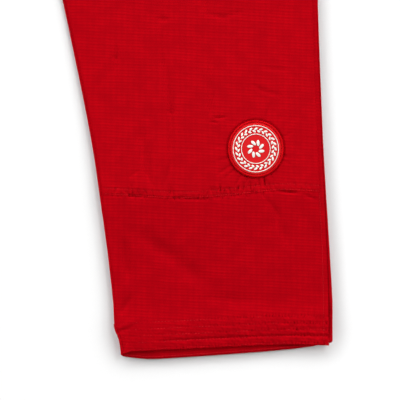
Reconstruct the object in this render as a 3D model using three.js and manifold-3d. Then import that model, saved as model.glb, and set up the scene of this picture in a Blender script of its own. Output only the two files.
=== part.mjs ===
// Jiu-jitsu gi trousers of red ripstop cotton, laid out flat on a surface with the front up.
// X runs to the wearer's left, Y from the hems to the waist, and Z up from the surface.
// The origin lies on the surface, under the middle of the whole outline. Sizes are in millimetres.
import * as THREE from "three";
import { mergeVertices } from "three/addons/utils/BufferGeometryUtils.js";
import Module from "manifold-3d";

const wasm = await Module();
wasm.setup();

// Driving sizes
const LENGTH = 960; // lowest point of the hems to the top of the waistband's back
const CLOTH = 1.2; // one layer of ripstop
const HEM_CLOTH = 2.2; // the same cloth where the hem is turned up inside
const HEM_DEPTH = 33; // height of the turned-up hem
const HEM_STEP = 4; // the wall thins over this height above the hem
const KNEE_CLOTH = 1.1; // knee reinforcement, on the outside of the front
const SEAM_GAP = 0.3; // between two pieces that are sewn together
const WAIST_SIDE = 918; // waist seam at the outseams
const WAIST_DIP = 9; // the waist seam's front hangs this much lower at the middle
const WAIST_RISE = 4; // and its back rises this much
const BAND_DEPTH = LENGTH - WAIST_SIDE - WAIST_RISE;
const BAND_WALL = 1.8; // the band's two layers of cloth
const SLIT = { x: 46, width: 3, length: 18 }; // the two mouths where a drawcord would leave the band
const CROTCH = { y: 640, halfWidth: 24, apex: 740 }; // the gusset's fold, and its point on the centre seams

// How the two layers lie on each other
const CURL_RUN = 22; // the side edges lift off the surface over this width
const HEM_CURL = 2.6; // and the hems this far
const HEM_CURL_RUN = 42;
const CROWN = 2.0; // gap between front and back, away from the edges
const CROWN_RUN = 32; // the gap opens over this width
const DOME = 0.8; // further slow rise of the front towards the middle of each leg
const DOME_RUN = 130;

// One leg's outline: inner is the inseam, outer the outseam, and lap how far the back shows
// outside the front at the outseam. The curls are how far the two edges lift off the surface.
const LEG_OUTLINE = [
  { y: 0, inner: 143.7, outer: 367.2, lap: 3.9, innerCurl: 3.4, outerCurl: 3.4 },
  { y: 12, inner: 142.6, outer: 367.3, lap: 4.0, innerCurl: 3.4, outerCurl: 3.4 },
  { y: 22, inner: 140.6, outer: 367.1, lap: 4.1, innerCurl: 3.4, outerCurl: 3.4 },
  { y: 29, inner: 137.4, outer: 367.0, lap: 4.2, innerCurl: 3.4, outerCurl: 3.4 },
  { y: 35, inner: 135.9, outer: 367.0, lap: 4.2, innerCurl: 3.4, outerCurl: 3.4 },
  { y: 61, inner: 134.4, outer: 366.9, lap: 4.1, innerCurl: 3.4, outerCurl: 3.5 },
  { y: 115, inner: 128.3, outer: 363.9, lap: 2.6, innerCurl: 3.3, outerCurl: 3.4 },
  { y: 168, inner: 120.9, outer: 360.6, lap: 2.0, innerCurl: 3.1, outerCurl: 3.2 },
  { y: 221, inner: 113.2, outer: 357.5, lap: 1.7, innerCurl: 2.5, outerCurl: 3.0 },
  { y: 274, inner: 103.2, outer: 355.2, lap: 1.6, innerCurl: 1.7, outerCurl: 2.8 },
  { y: 327, inner: 92.2, outer: 353.1, lap: 1.5, innerCurl: 1.0, outerCurl: 2.7 },
  { y: 380, inner: 80.9, outer: 351.4, lap: 1.3, innerCurl: 0.8, outerCurl: 2.6 },
  { y: 450, inner: 65.4, outer: 350.0, lap: 1.2, innerCurl: 1.0, outerCurl: 2.4 },
  { y: 520, inner: 50.0, outer: 347.6, lap: 1.2, innerCurl: 1.2, outerCurl: 2.2 },
  { y: 590, inner: 34.8, outer: 343.0, lap: 1.2, innerCurl: 1.4, outerCurl: 2.2 },
  { y: 640, inner: 24.0, outer: 338.0, lap: 1.2, innerCurl: 1.4, outerCurl: 2.1 },
];

// Above the crotch the inner edge runs straight along the gusset, and then up the centre seam.
const HIP_OUTLINE = [
  { y: 690, outer: 331.2, lap: 1.2, outerCurl: 2.0 },
  { y: 740, outer: 322.6, lap: 1.2, outerCurl: 1.9 },
  { y: 800, outer: 310.0, lap: 1.1, outerCurl: 1.6 },
  { y: 860, outer: 295.2, lap: 1.0, outerCurl: 0.9 },
  { y: 918, outer: 280.0, lap: 0.9, outerCurl: 0.0 },
];

// The hem's height above the level of its inner corner. share runs from the inseam to the outseam.
const HEM_CORNER = 3.6;
const HEM_FADE = 210; // the hem's slope dies out over this height
const HEM_LINE = [
  { share: 0.0, front: 0.0, back: 0.0 },
  { share: 0.022, front: 2.0, back: -1.3 },
  { share: 0.05, front: 3.9, back: -2.1 },
  { share: 0.12, front: 4.5, back: -3.6 },
  { share: 0.17, front: 5.1, back: -3.5 },
  { share: 0.28, front: 6.2, back: -2.0 },
  { share: 0.47, front: 8.2, back: 0.9 },
  { share: 0.66, front: 10.5, back: 4.0 },
  { share: 0.81, front: 11.3, back: 7.2 },
  { share: 0.9, front: 11.2, back: 9.8 },
  { share: 1.0, front: 10.4, back: 14.4 },
];

// The knee reinforcement runs between these heights, and its lower edge wanders by drop.
const KNEE = { low: 170, high: 586, fade: 46, inset: 1 };
const KNEE_LINE = [
  { share: 0.0, drop: 0.0 },
  { share: 0.12, drop: 1.5 },
  { share: 0.36, drop: 4.5 },
  { share: 0.58, drop: 1.2 },
  { share: 0.8, drop: -4.0 },
  { share: 1.0, drop: -2.0 },
];

// Broad soft folds of the front: where their middle is, which way they run, and their size.
// Positive x is the wearer's left. turn is in degrees from the X axis.
const FOLDS = [
  { x: 302, y: 128, turn: 104, length: 62, width: 15, height: 0.9 },
  { x: 190, y: 236, turn: 92, length: 74, width: 12, height: 0.8 },
  { x: 172, y: 392, turn: 84, length: 92, width: 18, height: 1.0 },
  { x: 262, y: 470, turn: 97, length: 105, width: 20, height: 1.1 },
  { x: 86, y: 690, turn: 28, length: 78, width: 14, height: 1.4 },
  { x: 108, y: 765, turn: 47, length: 96, width: 18, height: 1.1 },
  { x: 226, y: 812, turn: 74, length: 82, width: 20, height: 1.0 },
  { x: -296, y: 142, turn: 79, length: 58, width: 15, height: 0.8 },
  { x: -214, y: 262, turn: 93, length: 88, width: 13, height: 0.9 },
  { x: -168, y: 424, turn: 101, length: 84, width: 19, height: 1.1 },
  { x: -280, y: 520, turn: 86, length: 98, width: 18, height: 0.9 },
  { x: -78, y: 702, turn: 148, length: 72, width: 15, height: 1.2 },
  { x: -120, y: 790, turn: 128, length: 88, width: 17, height: 1.2 },
  { x: -232, y: 838, turn: 102, length: 66, width: 18, height: 0.9 },
];

// The round badge on the wearer's left shin. Its rows go from the middle out.
const BADGE = { x: 286, y: 222.6, under: 0.35, segments: 48 };
const BADGE_PROFILE = [
  { radius: 12, height: 1.5 },
  { radius: 25.7, height: 1.5 },
  { radius: 26.3, height: 1.0 },
  { radius: 27.2, height: 1.0 },
  { radius: 27.8, height: 1.6 },
  { radius: 29.2, height: 1.5 },
  { radius: 30, height: 0.9 },
];

// Mesh steps
const COLUMNS = 12; // quads across a leg
const HEM_ROWS = [0, 7, 16, 25, 33, 40]; // heights of the rows in and just above the hem
const ROWS_TO_KNEE = 5;
const KNEE_ROWS = 15;
const ROWS_TO_WAIST = 12;

const { clamp, lerp, mapLinear, degToRad } = THREE.MathUtils;

// A curve through one column of a table, read at any place along its key column.
function curveThrough(table, key, column, Interpolant = THREE.CubicInterpolant) {
  const places = table.map((row) => row[key]);
  const values = table.map((row) => row[column]);
  const curve = new Interpolant(places, values, 1);
  return (place) => curve.evaluate(clamp(place, places[0], places[places.length - 1]))[0];
}

const inseam = curveThrough(LEG_OUTLINE, "y", "inner");
const innerCurl = curveThrough(LEG_OUTLINE, "y", "innerCurl");
const OUTSEAM = [...LEG_OUTLINE, ...HIP_OUTLINE];
const outseam = curveThrough(OUTSEAM, "y", "outer");
const outerCurl = curveThrough(OUTSEAM, "y", "outerCurl");
const outseamLap = curveThrough(OUTSEAM, "y", "lap");
const hemLine = {
  front: curveThrough(HEM_LINE, "share", "front", THREE.LinearInterpolant),
  back: curveThrough(HEM_LINE, "share", "back", THREE.LinearInterpolant),
};
const kneeDrop = curveThrough(KNEE_LINE, "share", "drop");

// 0 at the edge, 1 at the given distance and beyond, with a steep start like a stuffed edge.
function rise(distance, run) {
  const left = 1 - clamp(distance / run, 0, 1);
  return 1 - left * left;
}

// 1 at the start and 0 at the end, with a soft end.
function fade(distance, run) {
  const left = 1 - clamp(distance / run, 0, 1);
  return left * left;
}

function innerEdge(y) {
  if (y < CROTCH.y) return inseam(y);
  const alongGusset = mapLinear(y, CROTCH.y, CROTCH.apex, CROTCH.halfWidth, 0);
  return Math.max(alongGusset, SEAM_GAP / 2);
}

// The waist seam, as a height at each place across the trousers.
function waistSeam(face, x) {
  const middle = 1 - (x / outseam(WAIST_SIDE)) ** 2;
  return WAIST_SIDE + middle * (face === "front" ? -WAIST_DIP : WAIST_RISE);
}

// How far a place in plan is from the outseam, and from the inseam or crotch fold.
function outerDistance(x, y) {
  return Math.max(0, outseam(y) - Math.abs(x));
}

function innerDistance(x, y) {
  const side = Math.abs(x);
  if (y <= CROTCH.y) return Math.max(0, side - innerEdge(y));
  return Math.hypot(Math.max(0, side - CROTCH.halfWidth), y - CROTCH.y);
}

// How far a place lies above a leg panel's hem edge.
function hemDistance(face, x, y) {
  const share = (Math.abs(x) - innerEdge(y)) / (outseam(y) - innerEdge(y));
  return Math.max(0, y - HEM_CORNER - hemLine[face](clamp(share, 0, 1)));
}

// The wall of a leg panel, thicker where the hem is turned up.
function wall(face, x, y) {
  return lerp(HEM_CLOTH, CLOTH, clamp((hemDistance(face, x, y) - HEM_DEPTH) / HEM_STEP, 0, 1));
}

function foldHeight(x, y) {
  let height = 0;
  for (const fold of FOLDS) {
    const turn = degToRad(fold.turn);
    const along = (x - fold.x) * Math.cos(turn) + (y - fold.y) * Math.sin(turn);
    const across = (y - fold.y) * Math.cos(turn) - (x - fold.x) * Math.sin(turn);
    height += fold.height * Math.exp(-((across / fold.width) ** 2) - (along / fold.length) ** 4);
  }
  return height;
}

// Heights of the layers at a place in plan.
function backUnder(x, y) {
  const sides =
    innerCurl(y) * fade(innerDistance(x, y), CURL_RUN) + outerCurl(y) * fade(outerDistance(x, y), CURL_RUN);
  const hem = HEM_CURL * fade(hemDistance("back", x, y), HEM_CURL_RUN);
  return Math.max(sides, hem);
}

function backTop(x, y) {
  return backUnder(x, y) + wall("back", x, y);
}

function frontUnder(x, y) {
  const distance = Math.min(innerDistance(x, y), outerDistance(x, y));
  const open = rise(distance, CROWN_RUN);
  const billow = CROWN * open + DOME * rise(distance, DOME_RUN) + open * foldHeight(x, y);
  return backTop(x, y) + SEAM_GAP + billow;
}

function frontTop(x, y) {
  return frontUnder(x, y) + wall("front", x, y);
}

function kneeUnder(x, y) {
  return frontTop(x, y) + SEAM_GAP;
}

function kneeTop(x, y) {
  return kneeUnder(x, y) + KNEE_CLOTH;
}

// A place on a leg panel in plan. share is 0 at the inner edge and 1 at the outseam, and
// up is the height of the row above the hem's inner corner.
function planPoint(face, share, up) {
  const top = WAIST_SIDE - SEAM_GAP - HEM_CORNER;
  const middle = outseam(WAIST_SIDE) * share;
  const kneeFade = fade(Math.abs(up - KNEE.low), KNEE.fade);
  const y =
    HEM_CORNER +
    up +
    hemLine[face](share) * fade(up, HEM_FADE) -
    (face === "front" ? kneeDrop(share) * kneeFade : 0) +
    (waistSeam(face, middle) - WAIST_SIDE) * fade(top - up, 120);
  const outer = outseam(y) - (face === "front" ? outseamLap(y) : 0);
  return { x: lerp(innerEdge(y), outer, share), y };
}

// Evenly spaced places from one height to another, without the first.
function steps(from, to, count) {
  return Array.from({ length: count }, (_, i) => lerp(from, to, (i + 1) / count));
}

const SHARES = Array.from({ length: COLUMNS + 1 }, (_, i) => (1 - Math.cos((Math.PI * i) / COLUMNS)) / 2);
const PANEL_ROWS = [
  ...HEM_ROWS,
  ...steps(HEM_ROWS[HEM_ROWS.length - 1], KNEE.low, ROWS_TO_KNEE),
  ...steps(KNEE.low, KNEE.high, KNEE_ROWS),
  ...steps(KNEE.high, WAIST_SIDE - SEAM_GAP - HEM_CORNER, ROWS_TO_WAIST),
];

// A closed solid from points and quads or triangles, turned so that its faces point out.
function closedBody(points, faces) {
  const triangles = faces.flatMap((f) => (f.length === 3 ? [f] : [[f[0], f[1], f[2]], [f[0], f[2], f[3]]]));
  const volume = triangles.reduce((sum, [a, b, c]) => {
    const normal = new THREE.Vector3().crossVectors(points[b], points[c]);
    return sum + points[a].dot(normal);
  }, 0);
  const outward = volume > 0 ? triangles : triangles.map(([a, b, c]) => [a, c, b]);
  const geometry = new THREE.BufferGeometry().setFromPoints(points);
  geometry.setIndex(outward.flat());
  return geometry;
}

// A wall between two grids of points of the same size, closed all round its rim.
function wallBetween(outside, inside) {
  const rows = outside.length;
  const columns = outside[0].length;
  const points = [...outside.flat(), ...inside.flat()];
  const out = (row, column) => row * columns + column;
  const into = (row, column) => rows * columns + out(row, column);
  const faces = [];
  for (let r = 0; r + 1 < rows; r++) {
    for (let c = 0; c + 1 < columns; c++) {
      faces.push([out(r, c), out(r, c + 1), out(r + 1, c + 1), out(r + 1, c)]);
      faces.push([into(r, c), into(r + 1, c), into(r + 1, c + 1), into(r, c + 1)]);
    }
  }
  for (let c = 0; c + 1 < columns; c++) {
    faces.push([out(0, c + 1), out(0, c), into(0, c), into(0, c + 1)]);
    faces.push([out(rows - 1, c), out(rows - 1, c + 1), into(rows - 1, c + 1), into(rows - 1, c)]);
  }
  for (let r = 0; r + 1 < rows; r++) {
    faces.push([out(r, 0), out(r + 1, 0), into(r + 1, 0), into(r, 0)]);
    faces.push([out(r + 1, columns - 1), out(r, columns - 1), into(r, columns - 1), into(r + 1, columns - 1)]);
  }
  return closedBody(points, faces);
}

// Row frame: the origin is halfway up the length.
function place(x, y, z) {
  return new THREE.Vector3(x, y - LENGTH / 2, z);
}

// One cloth panel of a leg between two height functions. side is 1 on the wearer's left.
function legPanel(side, face, rows, shares, under, over) {
  const grid = (height) =>
    rows.map((up) =>
      shares.map((share) => {
        const p = planPoint(face, share, up);
        return place(side * p.x, p.y, height(side * p.x, p.y));
      }),
    );
  return wallBetween(grid(over), grid(under));
}

// The gusset is one strip, folded round the crotch: down the front, round the fold and up the back.
function gusset() {
  const RUN_STEPS = 5;
  const FOLD_STEPS = 6;
  const HALF_COLUMNS = 4;
  const TIP = 3; // the strip's ends are this far below the apex
  const rowAcross = (y, pointAt) => {
    const halfWidth = innerEdge(y) - SEAM_GAP * 1.5;
    return Array.from({ length: 2 * HALF_COLUMNS + 1 }, (_, i) =>
      pointAt((halfWidth * (i - HALF_COLUMNS)) / HALF_COLUMNS),
    );
  };
  const runs = Array.from({ length: RUN_STEPS }, (_, i) => lerp(CROTCH.apex - TIP, CROTCH.y, i / RUN_STEPS));
  const flat = (heights) => runs.map((y) => rowAcross(y, (x) => place(x, y, heights(x, y))));
  const foldMiddle = (backUnder(0, CROTCH.y) + frontTop(0, CROTCH.y)) / 2;
  const bend = (radius) =>
    Array.from({ length: FOLD_STEPS + 1 }, (_, i) => {
      const turn = (Math.PI * i) / FOLD_STEPS;
      const y = CROTCH.y - radius * Math.sin(turn);
      return rowAcross(CROTCH.y, (x) => place(x, y, foldMiddle + radius * Math.cos(turn)));
    });
  const outerRadius = frontTop(0, CROTCH.y) - foldMiddle;
  const innerRadius = frontUnder(0, CROTCH.y) - foldMiddle;
  const outside = [...flat(frontTop), ...bend(outerRadius), ...flat(backUnder).reverse()];
  const inside = [...flat(frontUnder), ...bend(innerRadius), ...flat(backTop).reverse()];
  return wallBetween(outside, inside);
}

// The waistband is one closed strip, pressed flat: its ring is two straight runs and two half turns.
function waistband() {
  const RUN_STEPS = 22;
  const TURN_STEPS = 4;
  const TURN_RADIUS = 1.15; // of the wall's middle
  const reach = outseam(WAIST_SIDE) - TURN_RADIUS - BAND_WALL / 2;
  const low = BAND_WALL / 2;
  const high = low + 2 * TURN_RADIUS;
  const ring = [];
  for (let i = 0; i < RUN_STEPS; i++) {
    const x = lerp(-reach, reach, i / RUN_STEPS);
    const billow = (CROWN + DOME) * rise(reach - Math.abs(x), DOME_RUN);
    ring.push({ x, z: high + billow, nx: 0, nz: 1 });
  }
  const halfTurn = (centre, start) => {
    for (let i = 0; i < TURN_STEPS; i++) {
      const turn = start - (Math.PI * i) / TURN_STEPS;
      const nx = Math.cos(turn);
      const nz = Math.sin(turn);
      ring.push({ x: centre + TURN_RADIUS * nx, z: low + TURN_RADIUS * (1 + nz), nx, nz });
    }
  };
  halfTurn(reach, Math.PI / 2);
  for (let i = 0; i < RUN_STEPS; i++) {
    ring.push({ x: lerp(reach, -reach, i / RUN_STEPS), z: low, nx: 0, nz: -1 });
  }
  halfTurn(-reach, -Math.PI / 2);
  const points = [];
  for (const { x, z, nx, nz } of ring) {
    const frontShare = clamp((z - low) / (high - low), 0, 1);
    const seam = lerp(waistSeam("back", x), waistSeam("front", x), frontShare);
    for (const [offset, y] of [
      [1, seam],
      [1, seam + BAND_DEPTH],
      [-1, seam + BAND_DEPTH],
      [-1, seam],
    ]) {
      const out = (offset * BAND_WALL) / 2;
      points.push(place(x + nx * out, y, z + nz * out));
    }
  }
  const CORNERS = 4;
  const faces = ring.flatMap((_, i) => {
    const here = i * CORNERS;
    const next = ((i + 1) % ring.length) * CORNERS;
    return [0, 1, 2, 3].map((k) => {
      const m = (k + 1) % CORNERS;
      return [here + k, here + m, next + m, next + k];
    });
  });
  return closedBody(points, faces);
}

// The badge is a disc with a sunk sewing channel inside its raised rim, laid on the knee cloth.
function badge() {
  const level = (x, y) => kneeTop(x, y) + BADGE.under;
  const ringAt = (radius, height) =>
    Array.from({ length: BADGE.segments }, (_, i) => {
      const turn = (2 * Math.PI * i) / BADGE.segments;
      const x = BADGE.x + radius * Math.cos(turn);
      const y = BADGE.y + radius * Math.sin(turn);
      return place(x, y, level(x, y) + height);
    });
  const rings = [
    ...BADGE_PROFILE.map((row) => ringAt(row.radius, row.height)),
    ringAt(BADGE_PROFILE[BADGE_PROFILE.length - 1].radius, 0),
    ringAt(BADGE_PROFILE[0].radius, 0),
  ];
  const base = level(BADGE.x, BADGE.y);
  const points = [
    ...rings.flat(),
    place(BADGE.x, BADGE.y, base + BADGE_PROFILE[0].height),
    place(BADGE.x, BADGE.y, base),
  ];
  const topCentre = points.length - 2;
  const underCentre = points.length - 1;
  const last = (rings.length - 1) * BADGE.segments;
  const faces = [];
  for (let i = 0; i < BADGE.segments; i++) {
    const j = (i + 1) % BADGE.segments;
    faces.push([topCentre, i, j]);
    faces.push([underCentre, last + j, last + i]);
    for (let r = 0; r + 1 < rings.length; r++) {
      const a = r * BADGE.segments;
      const b = a + BADGE.segments;
      faces.push([a + i, b + i, b + j, a + j]);
    }
  }
  return closedBody(points, faces);
}

// Boolean cut, for the drawcord slits.
function toSolid(geometry) {
  const bare = geometry.clone();
  bare.deleteAttribute("normal");
  bare.deleteAttribute("uv");
  const merged = mergeVertices(bare.index ? bare : bare.toNonIndexed());
  const mesh = new wasm.Mesh({
    numProp: 3,
    vertProperties: Float32Array.from(merged.attributes.position.array),
    triVerts: Uint32Array.from(merged.index.array),
  });
  return new wasm.Manifold(mesh);
}

function toGeometry(solid) {
  const mesh = solid.getMesh();
  const geometry = new THREE.BufferGeometry();
  geometry.setAttribute("position", new THREE.BufferAttribute(mesh.vertProperties, 3));
  geometry.setIndex(new THREE.BufferAttribute(mesh.triVerts, 1));
  return geometry;
}

function waistbandWithSlits() {
  const hollow = BAND_WALL + SEAM_GAP; // the cutter starts inside the flattened ring
  const cutterHeight = 20;
  let band = toSolid(waistband());
  for (const side of [-1, 1]) {
    const cutter = new THREE.BoxGeometry(SLIT.width, SLIT.length, cutterHeight);
    const y = waistSeam("front", SLIT.x) + BAND_DEPTH / 2;
    const at = place(side * SLIT.x, y, hollow + cutterHeight / 2);
    cutter.translate(at.x, at.y, at.z);
    band = band.subtract(toSolid(cutter));
  }
  return toGeometry(band);
}

const ripstop = new THREE.MeshStandardMaterial({ color: 0xb60614, roughness: 0.85, metalness: 0 });
const rubber = new THREE.MeshStandardMaterial({ color: 0xd4121e, roughness: 0.5, metalness: 0 });

const trousers = new THREE.Group();

function add(name, geometry, material) {
  const mesh = new THREE.Mesh(geometry, material);
  mesh.name = name;
  trousers.add(mesh);
}

for (const [side, name] of [
  [1, "left"],
  [-1, "right"],
]) {
  const kneeRows = PANEL_ROWS.filter((up) => up >= KNEE.low - 0.01 && up <= KNEE.high + 0.01);
  const kneeShares = SHARES.slice(KNEE.inset, SHARES.length - KNEE.inset);
  add(`back_leg_${name}`, legPanel(side, "back", PANEL_ROWS, SHARES, backUnder, backTop), ripstop);
  add(`front_leg_${name}`, legPanel(side, "front", PANEL_ROWS, SHARES, frontUnder, frontTop), ripstop);
  add(`knee_${name}`, legPanel(side, "front", kneeRows, kneeShares, kneeUnder, kneeTop), ripstop);
}
add("gusset", gusset(), ripstop);
add("waistband", waistbandWithSlits(), ripstop);
add("badge", badge(), rubber);

export default trousers;
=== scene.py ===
"""Jiu-jitsu gi trousers of red ripstop cotton, laid out flat with the front up.

The camera looks straight down on the wearer's left shin and hem, as in the photograph.
Sizes are in millimetres, and place() turns them into the frame's metres.
"""

import itertools
import math
import random

import bmesh
import bpy
import numpy as np
from mathutils import Matrix, Vector


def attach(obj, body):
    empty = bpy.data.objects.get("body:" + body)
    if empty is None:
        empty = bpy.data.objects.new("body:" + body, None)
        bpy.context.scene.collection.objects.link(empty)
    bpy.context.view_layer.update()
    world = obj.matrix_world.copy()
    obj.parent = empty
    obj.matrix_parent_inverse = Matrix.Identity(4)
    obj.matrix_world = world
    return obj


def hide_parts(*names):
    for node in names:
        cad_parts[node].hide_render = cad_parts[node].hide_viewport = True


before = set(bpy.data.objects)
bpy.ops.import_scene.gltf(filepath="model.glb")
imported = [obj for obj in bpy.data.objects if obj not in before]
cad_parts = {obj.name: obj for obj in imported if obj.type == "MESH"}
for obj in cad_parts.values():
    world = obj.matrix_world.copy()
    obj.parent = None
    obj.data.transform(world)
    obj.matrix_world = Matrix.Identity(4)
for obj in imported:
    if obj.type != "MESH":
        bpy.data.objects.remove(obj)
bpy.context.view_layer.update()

MM = 0.001
SIDES = {"left": 1, "right": -1}  # the wearer's

# Driving sizes, as in the part's source, apart from HEM_CURL, which is a little more here
LENGTH = 960
SEAM_GAP = 0.3
HEM_CORNER = 3.6
HEM_FADE = 210
HEM_DEPTH = 33
WAIST_SIDE = 918
WAIST_DIP = 9
WAIST_RISE = 4
BAND_DEPTH = LENGTH - WAIST_SIDE - WAIST_RISE
CROTCH_Y = 640
CROTCH_HALF_WIDTH = 24
CROTCH_APEX = 740
CURL_RUN = 22
HEM_CURL = 3.5
HEM_CURL_RUN = 42
CROWN = 2.0
CROWN_RUN = 32
DOME = 0.8
DOME_RUN = 130
CAD_CLOTH = 1.2
CAD_HEM = 2.2
KNEE_LOW = 170
KNEE_HIGH = 586
KNEE_FADE = 46

# The cloth itself is thinner than the solids that hold its place
CLOTH = 0.8
HEM_FOLD = 1.15  # from the hem's outer layer to its turned-up one
KNEE_RISE = 0.5  # the knee cloth's face over the leg's face
EDGE_ROUND = 1.5  # the sewn edges turn over this width
EDGE_DROP = 0.75  # and by this much
HEM_STEP = 26  # the doubled hem thins out softly over this stretch
HEM_STEP_START = 2  # and starts this far below its raw edge

BADGE_X = 286
BADGE_Y = 222.6
BADGE_RADIUS = 30
BADGE_SQUEEZE = 0.977  # the cloth draws it a little narrower across the leg


def table(columns, *rows):
    """Rows with named columns, from the columns' names in a line and a tuple for each row."""
    return [dict(zip(columns.split(), row)) for row in rows]


LEG_OUTLINE = table(
    "y inner outer lap inner_curl outer_curl",
    (0, 143.7, 367.2, 3.9, 3.4, 3.4),
    (12, 142.6, 367.3, 4.0, 3.4, 3.4),
    (22, 140.6, 367.1, 4.1, 3.4, 3.4),
    (29, 137.4, 367.0, 4.2, 3.4, 3.4),
    (35, 135.9, 367.0, 4.2, 3.4, 3.4),
    (61, 134.4, 366.9, 4.1, 3.4, 3.5),
    (115, 128.3, 363.9, 2.6, 3.3, 3.4),
    (168, 120.9, 360.6, 2.0, 3.1, 3.2),
    (221, 113.2, 357.5, 1.7, 2.5, 3.0),
    (274, 103.2, 355.2, 1.6, 1.7, 2.8),
    (327, 92.2, 353.1, 1.5, 1.0, 2.7),
    (380, 80.9, 351.4, 1.3, 0.8, 2.6),
    (450, 65.4, 350.0, 1.2, 1.0, 2.4),
    (520, 50.0, 347.6, 1.2, 1.2, 2.2),
    (590, 34.8, 343.0, 1.2, 1.4, 2.2),
    (640, 24.0, 338.0, 1.2, 1.4, 2.1),
)
HIP_OUTLINE = table(
    "y outer lap outer_curl",
    (690, 331.2, 1.2, 2.0),
    (740, 322.6, 1.2, 1.9),
    (800, 310.0, 1.1, 1.6),
    (860, 295.2, 1.0, 0.9),
    (918, 280.0, 0.9, 0.0),
)
OUTSEAM = LEG_OUTLINE + HIP_OUTLINE

# The hem's height above its inner corner. share runs from the inseam to the outseam.
HEM_LINE = table(
    "share front back",
    (0.0, 0.0, 0.0),
    (0.022, 2.0, -1.3),
    (0.05, 3.9, -2.1),
    (0.12, 4.5, -3.6),
    (0.17, 5.1, -3.5),
    (0.28, 6.2, -2.0),
    (0.47, 8.2, 0.9),
    (0.66, 10.5, 4.0),
    (0.81, 11.3, 7.2),
    (0.9, 11.2, 9.8),
    (1.0, 10.4, 14.4),
)

KNEE_LINE = table(
    "share drop",
    (0.0, 0.0),
    (0.12, 1.5),
    (0.36, 4.5),
    (0.58, 1.2),
    (0.8, -4.0),
    (1.0, -2.0),
)

CREASE_COLUMNS = "x y turn length width depth"

# Broad folds, as in the solids
FOLDS = table(
    CREASE_COLUMNS,
    (302, 128, 104, 62, 15, 0.9),
    (190, 236, 92, 74, 12, 0.8),
    (172, 392, 84, 92, 18, 1.0),
    (262, 470, 97, 105, 20, 1.1),
    (86, 690, 28, 78, 14, 1.4),
    (108, 765, 47, 96, 18, 1.1),
    (226, 812, 74, 82, 20, 1.0),
    (-296, 142, 79, 58, 15, 0.8),
    (-214, 262, 93, 88, 13, 0.9),
    (-168, 424, 101, 84, 19, 1.1),
    (-280, 520, 86, 98, 18, 0.9),
    (-78, 702, 148, 72, 15, 1.2),
    (-120, 790, 128, 88, 17, 1.2),
    (-232, 838, 102, 66, 18, 0.9),
)

# Creases of the front, listed one by one. Those with a negative depth are troughs.
# length and width are from the middle to where the crease has nearly gone.
CREASES = table(
    CREASE_COLUMNS,
    # soft ones across the left shin
    (199, 105, -36, 50, 9, -1.0),
    (260, 62, -3, 30, 6, -0.5),
    (149, 103, 96, 22, 6, -1.2),
    (304, 161, -52, 12, 2.8, -0.38),
    (312, 141, -72, 20, 4.5, -0.6),
    (151, 37, 24, 14, 3, 0.25),
    (147, 31, 18, 9, 2, -0.25),
    (148, 57, 56, 11, 3.5, -0.6),
    # long upright ones over the knee cloth
    (192.5, 289, 99, 34, 4.6, -0.75),
    (197, 237, 90, 36, 3.6, -0.55),
    (197.5, 263, 15, 6, 2.4, -0.3),
    (193, 197, 72, 16, 2.2, -0.25),
    (168, 218, 98, 26, 4.4, -0.8),
    (173.5, 190, 112, 10, 2.6, -0.25),
    (138, 317, 88, 15, 2.4, -0.45),
    (136.7, 319.5, 0, 4, 1.7, -0.4),
    (237.4, 290, 90, 33, 2.6, -0.42),
    (239.6, 272, 84, 10, 2.0, -0.45),
    # short sharp ones
    (188, 360, -4, 6, 1.7, -0.55),
    (246, 363, -14, 12, 2.2, -0.45),
    (262, 365.5, 10, 10, 2.0, -0.4),
    (233, 373, 92, 10, 1.8, -0.35),
    (247.5, 255.8, 2, 6.5, 1.2, -0.6),
    (241.7, 250.6, -8, 4, 1.2, -0.35),
    (306, 307, -6, 13, 1.7, -0.4),
    (300, 282.5, -15, 13, 1.7, -0.45),
    (288, 288, -24, 8, 1.4, -0.3),
    (315, 216, -30, 6, 1.8, -0.35),
    (157, 196, 38, 6, 1.5, -0.25),
    # along the knee seam
    (219, 169.4, -1, 17, 1.6, -0.34),
    (204, 171, 8, 7, 1.3, -0.4),
    (320.6, 177.2, -4, 9.5, 1.1, -1.0),
    (344, 171.5, -18, 8, 1.5, -0.5),
    (158.5, 172, 0, 9, 1.6, -0.32),
    (150.5, 174.6, -40, 5, 1.4, -0.4),
    # the other leg's, of the same kinds
    (-205, 98, 214, 44, 8, -0.5),
    (-290, 66, 4, 22, 6, -0.35),
    (-150, 52, 128, 12, 3.5, -0.55),
    (-184, 262, 82, 34, 1.8, -0.4),
    (-236, 318, 93, 30, 1.7, -0.35),
    (-301, 284, 12, 13, 1.8, -0.45),
    (-252, 236, -4, 7, 1.3, -0.7),
    (-228, 169, 2, 17, 1.5, -0.85),
    (-312, 176, 6, 9, 1.2, -0.8),
    (-170, 170.5, 0, 8, 1.6, -0.7),
    # drag lines of the seat and thighs
    (62, 662, 34, 34, 3.2, -0.8),
    (80, 640, 24, 30, 2.8, -0.6),
    (-64, 668, 148, 32, 3.2, -0.8),
    (-84, 636, 157, 30, 2.6, -0.6),
    (34, 770, 68, 40, 3.4, -0.6),
    (-30, 782, 110, 38, 3.2, -0.6),
    (206, 520, 95, 48, 4, -0.6),
    (120, 560, 62, 42, 4, -0.6),
    (-196, 560, 84, 50, 4, -0.6),
    (-118, 520, 117, 40, 4, -0.6),
    (262, 640, 78, 46, 4, -0.6),
    (-258, 655, 101, 44, 4, -0.6),
    (178, 452, 100, 32, 2.4, -0.5),
    (-246, 430, 96, 36, 2.4, -0.5),
)

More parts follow.
